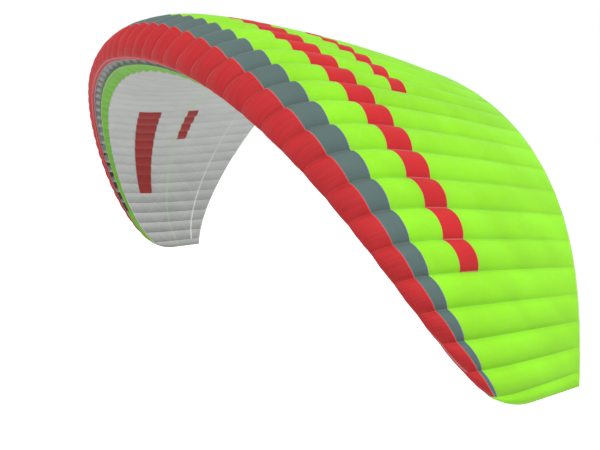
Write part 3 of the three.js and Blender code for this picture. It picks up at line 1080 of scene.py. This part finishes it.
    def _stitches(self, nodes: Nodes, at: ClothPlace) -> Socket:
        """Returns 1 on the stitches beside the rib seams and along the hems, 0 elsewhere."""
        rows = []
        for gap, run in ((at.rib_gap, at.along), (at.edge_gap, at.across)):
            off = nodes.distance(gap, self.seam_width * self.STITCH_PLACE)
            dash = nodes.step(nodes.math("PINGPONG", run, self.STITCH / 2), *self.STITCH_ENDS)
            rows.append(nodes.math("MULTIPLY", nodes.step(off, *self.STITCH_ROW), dash))
        return nodes.math("MAXIMUM", *rows)


@dataclass(frozen=True)
class TapeFinish:
    """Narrow woven tape over a seam or round an edge."""

    name: str
    slot: str
    colour: str
    roughness: float = 0.6

    RIBBING = (0.0016, 0.5)  # pitch, and the part of it that a rib takes
    MOTTLE = (9.0, 0.93, 1.05)  # scale, darkest and brightest
    RELIEF = 0.0002

    def make(self) -> bpy.types.Material:
        """Returns the material."""
        nodes = Nodes(bpy.data.materials.new(self.name))
        place, (across, along, _) = nodes.place("cloth_place")
        colour = nodes.tinted(self.colour, nodes.clouds(place, *self.MOTTLE))
        ribbed = nodes.grid_lines(across, along, *self.RIBBING)
        return nodes.finish(
            colour, ribbed, self.RELIEF, Roughness=self.roughness, Sheen_Weight=0.1
        )


@dataclass(frozen=True)
class RibFinish:
    """Uncoated rib cloth with its own weave."""

    name: str = "rib_cloth_finish"
    colour: str = "9a9a99"
    roughness: float = 0.65
    sheer: float = 0.3

    MOTTLE = (3.0, 0.93, 1.05)
    WRINKLES = (3, 9, 9)
    WEAVE_RELIEF, WRINKLE_RELIEF = 0.12, 0.8
    RELIEF = 0.002

    def make(self) -> bpy.types.Material:
        """Returns the material."""
        nodes = Nodes(bpy.data.materials.new(self.name))
        place = nodes.add("ShaderNodeTexCoord").outputs["Object"]
        parts = nodes.add("ShaderNodeSeparateXYZ", Vector=place).outputs
        colour = nodes.tinted(self.colour, nodes.clouds(place, *self.MOTTLE))
        weave = nodes.grid_lines(parts[1], parts[2], *ClothFinish.RIPSTOP)
        wrinkles = nodes.streaks(place, self.WRINKLES)
        relief = nodes.blend(weave, self.WEAVE_RELIEF, wrinkles, self.WRINKLE_RELIEF)
        return nodes.finish(
            colour, relief, self.RELIEF, self.sheer, Roughness=self.roughness, Sheen_Weight=0.1
        )


@dataclass(frozen=True)
class FloorFinish:
    """The plain pale floor."""

    name: str = "floor_finish"
    colour: str = "fbfbfb"
    glow: float = 0.5

    GRAIN = 60.0
    RELIEF = 0.0002

    def make(self) -> bpy.types.Material:
        """Returns the material."""
        nodes = Nodes(bpy.data.materials.new(self.name))
        place = nodes.add("ShaderNodeTexCoord").outputs["Object"]
        return nodes.finish(
            linear(self.colour),
            nodes.noise(place, self.GRAIN),
            self.RELIEF,
            Roughness=0.9,
            Emission_Color=linear(self.colour),
            Emission_Strength=self.glow,
        )


class Cloth(Enum):
    """The cloths and tapes of this wing."""

    RED = ClothFinish(
        "red_cloth_finish",
        "red_cloth",
        "e23a3e",
        "c98a86",
        streaks=0.5,
        seam_share=0.75,
        outer_seams=0.1,
        sheen=0.0,
        smooth_lip=True,
    )
    GREY = ClothFinish(
        "grey_cloth_finish",
        "grey_cloth",
        "6f8683",
        "b0aca6",
        streaks=0.25,
        seam_share=0.75,
        outer_seams=0.4,
    )
    GREEN = ClothFinish(
        "green_cloth_finish", "green_cloth", "b0f53a", "cdf5a0", braces=0.05, outer_seams=0.15
    )
    STRIP = ClothFinish("strip_cloth_finish", "strip_cloth", "88ca48", "98d862", seam_share=0.4)
    WHITE = ClothFinish(
        "white_cloth_finish",
        "white_cloth",
        "d4d6d4",
        "ecedec",
        seam_share=0.3,
        braces=0.3,
        sheer=0.15,
        cell_fall_shade=0.24,
        tip_shade=0.28,
    )
    BAR = ClothFinish(
        "upper_bar_finish",
        "red_cloth",
        "e2393d",
        "f0a0a4",
        hem="e8205c",
        hem_width=0.008,
        hem_share=0.9,
    )
    # The same red cloth as the upper bars, painted darker as shade under the wing.
    LOWER_BAR = ClothFinish(
        "lower_bar_painted_shade_finish",
        "red_cloth",
        "b0403c",
        "c07068",
        hem="b4ccd2",
        hem_width=0.008,
        hem_share=0.8,
    )
    # The nose band's inside: a dark grey-purple that paints the shade inside the cells, in place of
    # the red cloth's own colour.
    SHADED_LINING = ClothFinish(
        "nose_lining_painted_shade_finish", "red_cloth", "74666a", "8a7c80", seam_share=0.5, mottling=0.05
    )
    CRIMSON_TAPE = TapeFinish("crimson_tape_finish", "red_cloth", "f2282c")
    TEAL_TAPE = TapeFinish("teal_tape_finish", "grey_cloth", "477e7c")
    VIOLET_TAPE = TapeFinish("violet_tape_finish", "grey_cloth", "5f6490")
    PALE_TAPE = TapeFinish("pale_tape_finish", "white_cloth", "d2c8da")
    WHITE_TAPE = TapeFinish("white_tape_finish", "white_cloth", "d8dad8")
    LIP_TAPE = TapeFinish("lip_tape_finish", "red_cloth", "c4605d")
    LIP_CORD = TapeFinish("lip_cord_finish", "grey_cloth", "5f9aa0")
    EDGE_TAPE = TapeFinish("rib_edge_finish", "rib_cloth", "a9abaa")
    GREEN_TAPE = TapeFinish("green_tape_finish", "strip_cloth", "8fd650")
    PALE_GREEN = TapeFinish("pale_green_hem_finish", "green_cloth", "b9e690")

    def material(self) -> bpy.types.Material:
        """Returns this cloth's material, made once."""
        return bpy.data.materials.get(self.value.name) or self.value.make()


# ---- The pieces --------------------


RIB_NAMES = ("rib_centre", "rib_left_12", "rib_right_12")


@dataclass
class Sewn:
    """What every sewn piece shares: the cutter, and how a piece is made."""

    cutter: ClothCutter

    def sew(
        self,
        name: str,
        grid: ClothGrid,
        cloth: Cloth,
        rests_on: Sequence[str],
        lining: Cloth | None = None,
    ) -> bpy.types.Object:
        """Makes a piece.

        Args:
            name: The piece's name.
            grid: Its shape.
            cloth: Its cloth.
            rests_on: What it is sewn to; not used.
            lining: Cloth of its inside, where it differs; on the nose band a dark painted shade.

        Returns:
            The piece.
        """
        inside = lining.material() if lining else None
        piece = ClothMesh(grid, name).build(cloth.material(), inside)
        return piece

    def sew_pair(
        self, names: str, left: ClothGrid, cloth: Cloth, rests_on: str, nodes: str = ""
    ) -> None:
        """Makes a left piece, and its mirror image on the right. In names, {} is the side.

        Args:
            names: The pieces' names.
            left: Shape of the left one.
            cloth: Their cloth.
            rests_on: Name of what each is sewn to.
            nodes: Name of the node that each replaces, if any.
        """
        for side, grid in (("left", left), ("right", left.mirrored())):
            piece = self.sew(names.format(side), grid, cloth, [rests_on.format(side)])
            if nodes:
                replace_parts(piece, nodes.format(side))


def both_sides(name: str) -> list[str]:
    """Returns the names of the left and the right piece of that name."""
    return [f"{name}_left", f"{name}_right"]


@dataclass
class UpperSail(Sewn):
    """The top of the wing: red nose band, grey band and green sail."""

    steps: int = 12
    nose_rows: int = 26
    grey_rows: int = 10
    green_rows: int = 56

    def build(self) -> None:
        """Makes the three panels."""
        shape = self.cutter.shape
        panels = (
            ("nose_cloth", both_sides("nose_band"), Cloth.RED, self.nose_rows),
            ("grey_cloth", ["grey_band"], Cloth.GREY, self.grey_rows),
            ("upper_cloth", ["upper_sail"], Cloth.GREEN, self.green_rows),
        )
        ends = (Border.LIP, Border.RED_GREY, Border.GREY_GREEN, 1.0)
        for (name, nodes, cloth, rows), start, end in zip(panels, ends, ends[1:]):
            nose = start is Border.LIP
            law = shape.rows_between(start, end, rows, (0.0 if nose else GAP, 0.0))
            grid = self.cutter.whole(Rows(law), shape.tip_rib, self.steps)
            piece = self.sew(name, grid, cloth, RIB_NAMES, Cloth.SHADED_LINING if nose else None)
            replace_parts(piece, *nodes)


@dataclass
class LowerSail(Sewn):
    """The bottom of the wing: the strip behind the inlets, the white sail, the closed nose."""

    steps: int = 8
    strip_rows: int = 6
    white_rows: int = 60
    closure_rows: int = 8

    def build(self) -> None:
        """Makes the panels."""
        shape = self.cutter.shape
        strip = shape.rows_between(Border.STRIP, Border.INLET, self.strip_rows)
        white = shape.rows_between(-1.0, Border.STRIP, self.white_rows, (0.0, -GAP))
        closure = shape.rows_between(Border.INLET, Border.LIP, self.closure_rows, (GAP, -GAP))
        for name, nodes, cloth, law in (
            ("strip_cloth", ["lower_strip"], Cloth.STRIP, strip),
            ("lower_cloth", both_sides("lower_sail"), Cloth.WHITE, white),
        ):
            grid = self.cutter.whole(Rows(law), shape.tip_rib, self.steps)
            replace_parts(self.sew(name, grid, cloth, RIB_NAMES), *nodes)
        left = self.cutter.half(Rows(closure), shape.last_inlet, shape.tip_rib, self.steps)
        self.sew_pair("closure_cloth_{}", left, Cloth.STRIP, "rib_{}_22", "nose_closure_{}")


@dataclass
class Tips(Sewn):
    """The two tip cells, whose caps and undersides meet at a rounded seam."""

    steps: int = 12
    cap_rows: int = 70
    under_rows: int = 50
    cap_edge: float = -0.05

    def build(self) -> None:
        """Makes the caps and undersides."""
        shape = self.cutter.shape
        rib, seam = shape.tip_rib, shape.tip_seam
        drop = abs(shape.sections[seam].z - shape.sections[rib].z)
        under_edge = shape.shift(rib, self.cap_edge, -GAP)

        def cap(number: int) -> Array:
            """Returns the cap's stations at a rib or at the seam."""
            w = np.linspace(self.cap_edge, 1, self.cap_rows + 1)
            return w if number == rib else (w - self.cap_edge) / (1 - self.cap_edge)

        def under(number: int) -> Array:
            """Returns the underside's stations at a rib or at the seam."""
            w = np.linspace(-1, under_edge, self.under_rows + 1)
            return w if number == rib else (w - under_edge) / (1 + under_edge)

        for kind, law, side, cloth in (
            ("cap", cap, None, Cloth.GREEN),
            ("under", under, -1.0, Cloth.WHITE),
        ):
            left = self.cutter.half(Rows(law, side=side), rib, seam, self.steps, GAP / drop)
            self.sew_pair(f"tip_{kind}_cloth_{{}}", left, cloth, "rib_{}_23", f"tip_{kind}_{{}}")


@dataclass
class OnTop(Sewn):
    """What bars and tapes share: they lie on the sails' outside."""

    upper_steps: int = 12
    lower_steps: int = 8

    def rows(self, law: RowLaw) -> Rows:
        """Returns the rows of a piece that lies on the cloth."""
        return Rows(law, outer=TAPE_TOP, inner=GAP)


@dataclass
class Bars(OnTop):
    """Plain red bars sewn onto the sails, the same on both halves."""

    def build(self) -> None:
        """Makes the bars of the upper and the lower sail."""
        table = (
            # name, first rib, last rib, front and back as fractions of the chord, rows
            ("upper_bar_wide", 5, 19, 0.27, 0.37, 12),
            ("upper_bar_narrow", 6, 12, 0.5, 0.56, 8),
            ("lower_bar_wide", 8, 18, -0.36, -0.24, 12),
            ("lower_bar_narrow", 8, 12, -0.56, -0.5, 8),
        )
        for name, first, last, front, back, rows in table:
            start, end = (math.copysign(math.sqrt(abs(f)), f) for f in (front, back))
            upper = front > 0
            law = self.cutter.shape.rows_between(start, end, rows)
            steps = self.upper_steps if upper else self.lower_steps
            left = self.cutter.half(self.rows(law), first, last, steps)
            cloth = Cloth.BAR if upper else Cloth.LOWER_BAR
            self.sew_pair(f"{name}_{{}}", left, cloth, "upper_cloth" if upper else "lower_cloth")


@dataclass
class Tapes(OnTop):
    """Narrow tapes over the seams between the panels and round the free edges."""

    tape_rows: int = 2

    def build(self) -> None:
        """Makes the tapes."""
        shape = self.cutter.shape
        up, low = self.upper_steps, self.lower_steps
        table = (
            # name, where it lies, its edges from there in metres, cloth, columns to a cell
            ("red_edge_tape", Border.RED_GREY, (-0.0055, -0.0003), Cloth.CRIMSON_TAPE, up),
            ("red_grey_tape", Border.RED_GREY, (0.0, 0.0055), Cloth.TEAL_TAPE, up),
            ("grey_green_tape", Border.GREY_GREEN, (-0.004, 0.003), Cloth.VIOLET_TAPE, up),
            ("lip_tape", Border.LIP, (0.034, 0.046), Cloth.LIP_TAPE, up),
            ("lip_cord", Border.LIP, (0.0, 0.006), Cloth.LIP_CORD, up),
            ("strip_edge", Border.INLET, (-0.008, 0.0), Cloth.GREEN_TAPE, low),
            ("strip_tape", Border.STRIP, (-0.006, 0.005), Cloth.PALE_TAPE, low),
            ("lower_tape", -math.sqrt(0.82), (-0.012, 0.012), Cloth.WHITE_TAPE, low),
            ("lower_hem", -1.0, (0.0, 0.016), Cloth.WHITE_TAPE, low),
            ("upper_hem", 1.0, (-0.016, 0.0), Cloth.PALE_GREEN, up),
        )
        for name, place, edges, cloth, steps in table:
            law = shape.rows_between(place, place, self.tape_rows, edges)
            last_rib = shape.tip_rib - (place is Border.LIP)
            grid = self.cutter.whole(self.rows(law), last_rib, steps)
            self.sew(name, grid, cloth, ["upper_cloth" if steps == up else "lower_cloth"])


@dataclass
class InletEdges:
    """Rounded pale bindings on the ribs' free edges, across the air inlets."""

    shape: WingShape
    half_width: float = 0.0035
    depth: float = 0.05
    sides: int = 12
    margin: float = 0.04

    def build(self) -> None:
        """Makes the bindings of all ribs that stand between two inlets as one piece."""
        shape = self.shape
        points, faces = [], []
        length = 0.0
        for rib in range(1 - shape.last_inlet, shape.last_inlet):
            length += self._add(rib, points, faces)
        mesh = bpy.data.meshes.new("inlet_edges")
        mesh.from_pydata(points, [], faces)
        mesh.materials.append(Cloth.EDGE_TAPE.material())
        mesh.polygons.foreach_set("use_smooth", [len(face) == 4 for face in faces])
        mesh.update(calc_edges=True)
        piece = link("inlet_edges", mesh)
        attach(piece, BODY)
        LOG.info("inlet_edges: %d faces", len(faces))

    def _add(self, rib: int, points: list[Vector], faces: list[tuple[int, ...]]) -> float:
        """Adds one binding.

        Args:
            rib: Signed rib number.
            points: The mesh's points so far.
            faces: Its faces so far.

        Returns:
            The binding's length.
        """
        shape = self.shape
        section = shape.sections[abs(rib)]
        ends = np.array([shape.station(border, abs(rib)) for border in (Border.LIP, Border.INLET)])
        edge, _ = shape.edge(section, ends)
        edge = edge - np.array(shape.origin)
        if rib < 0:
            edge = edge * (-1, 1, 1)
        first, last = Vector(edge[0]), Vector(edge[1])
        first, last = first.lerp(last, self.margin), last.lerp(first, self.margin)
        tilt = section.tilt if rib >= 0 else -section.tilt
        across = Vector((math.cos(tilt), 0, -math.sin(tilt)))
        along = (last - first).normalized()
        inward = across.cross(along).normalized()
        if inward.y < 0:
            inward.negate()
        start = len(points)
        for end in (first, last):
            middle = end + inward * (self.depth / 2 + self.half_width)
            for k in range(self.sides):
                turn = 2 * math.pi * k / self.sides
                points.append(
                    middle
                    + across * (self.half_width * math.cos(turn))
                    + inward * (self.depth / 2 * math.sin(turn))
                )
        n = self.sides
        for k in range(n):
            near, beside = start + k, start + (k + 1) % n
            faces.append((near, beside, beside + n, near + n))
        faces.append(tuple(start + k for k in reversed(range(n))))
        faces.append(tuple(start + n + k for k in range(n)))
        return (last - first).length


@dataclass
class Ribs:
    """The ribs, which keep their own shape and get the finish of rib cloth."""

    nodes: dict[str, bpy.types.Object]

    def dress(self) -> None:
        """Puts the rib finish on every rib."""
        finish = RibFinish().make()
        for name, rib in self.nodes.items():
            if name.startswith("rib_"):
                for slot in rib.material_slots:
                    slot.material = finish
        LOG.info("ribs: dressed")


# ---- Studio --------------------


@dataclass
class Studio:
    """Camera, soft lights, pale surroundings and floor."""

    place: tuple[float, float, float] = (8.0548, -2.5275, -0.7341)
    forward: tuple[float, float, float] = (-0.9047, 0.4129, -0.1055)
    right: tuple[float, float, float] = (0.4168, 0.9088, -0.0179)
    lens: float = 45.4
    sensor: float = 36.0
    far_clip: float = 2000.0
    floor_height: float = -7.0
    floor_size: float = 900.0
    horizon: float = 1.0
    overhead: float = 0.6
    below: float = 0.6
    dim_below: float = -0.03
    fade: tuple[float, float] = (0.22, 0.6)
    lights: tuple[tuple[str, tuple[float, float, float], float, float], ...] = (
        # name, direction of its light, strength, apparent size in degrees
        ("key", (-0.5, 0.22, -0.84), 1.35, 30.0),
        ("fill", (-0.9, 0.42, 0.02), 0.4, 25.0),
    )

    def set_camera(self) -> None:
        """Makes the camera and makes it the scene's."""
        data = bpy.data.cameras.new("camera")
        data.lens = self.lens
        data.sensor_width = self.sensor
        data.clip_end = self.far_clip
        forward = Vector(self.forward).normalized()
        right = (Vector(self.right) - forward * forward.dot(Vector(self.right))).normalized()
        up = right.cross(forward)
        camera = link("camera", data)
        turn = Matrix((right, up, -forward)).transposed().to_4x4()
        camera.matrix_world = Matrix.Translation(self.place) @ turn
        bpy.context.scene.camera = camera

    def set_surroundings(self) -> None:
        """Makes the pale surroundings: bright above the horizon and dimmer below it."""
        world = bpy.data.worlds.new("surroundings")
        bpy.context.scene.world = world
        bpy.context.scene.view_settings.view_transform = "Standard"
        nodes = Nodes(world)
        place = nodes.add("ShaderNodeTexCoord").outputs["Generated"]
        height = nodes.add("ShaderNodeSeparateXYZ", place).outputs[2]
        ramp = nodes.add("ShaderNodeValToRGB", height)
        ramp.color_ramp.interpolation = "EASE"
        levels = self.horizon, self.overhead
        for element, place, level in zip(ramp.color_ramp.elements, self.fade, levels):
            element.position = place
            element.color = (level, level, level, 1.0)
        under = nodes.math("LESS_THAN", height, self.dim_below)
        level = nodes.mix(under, ramp.outputs[0], (self.below, self.below, self.below, 1.0))
        background = nodes.add("ShaderNodeBackground", level)
        nodes.add("ShaderNodeOutputWorld", background.outputs[0])

    def set_lights(self) -> None:
        """Makes the soft key light from above and a weaker one from the front."""
        for name, direction, strength, angle in self.lights:
            data = bpy.data.lights.new(name, "SUN")
            data.energy = strength
            data.angle = math.radians(angle)
            data.use_shadow = False
            light = link(name, data)
            light.rotation_euler = Vector(direction).to_track_quat("-Z", "Y").to_euler()

    def lay_floor(self) -> None:
        """Makes the floor below the wing."""
        half = self.floor_size / 2
        corners = [(-half, -half), (half, -half), (half, half), (-half, half)]
        mesh = bpy.data.meshes.new("floor")
        mesh.from_pydata([(x, y, self.floor_height) for x, y in corners], [], [(0, 1, 2, 3)])
        mesh.materials.append(FloorFinish().make())
        floor = link("floor", mesh)
        floor.visible_diffuse = False


def main() -> None:
    """Builds the wing's cloth, dresses its ribs and sets the studio."""
    logging.basicConfig(level=logging.INFO, format="%(name)s: %(message)s")
    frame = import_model()
    studio = Studio()
    studio.set_camera()
    studio.set_surroundings()
    studio.set_lights()
    studio.lay_floor()
    cutter = ClothCutter(WingShape(), Puckers())
    for part in (UpperSail(cutter), LowerSail(cutter), Tips(cutter), Bars(cutter), Tapes(cutter)):
        part.build()
    InletEdges(cutter.shape).build()
    Ribs(frame["nodes"]).dress()


if __name__ == "__main__":
    main()
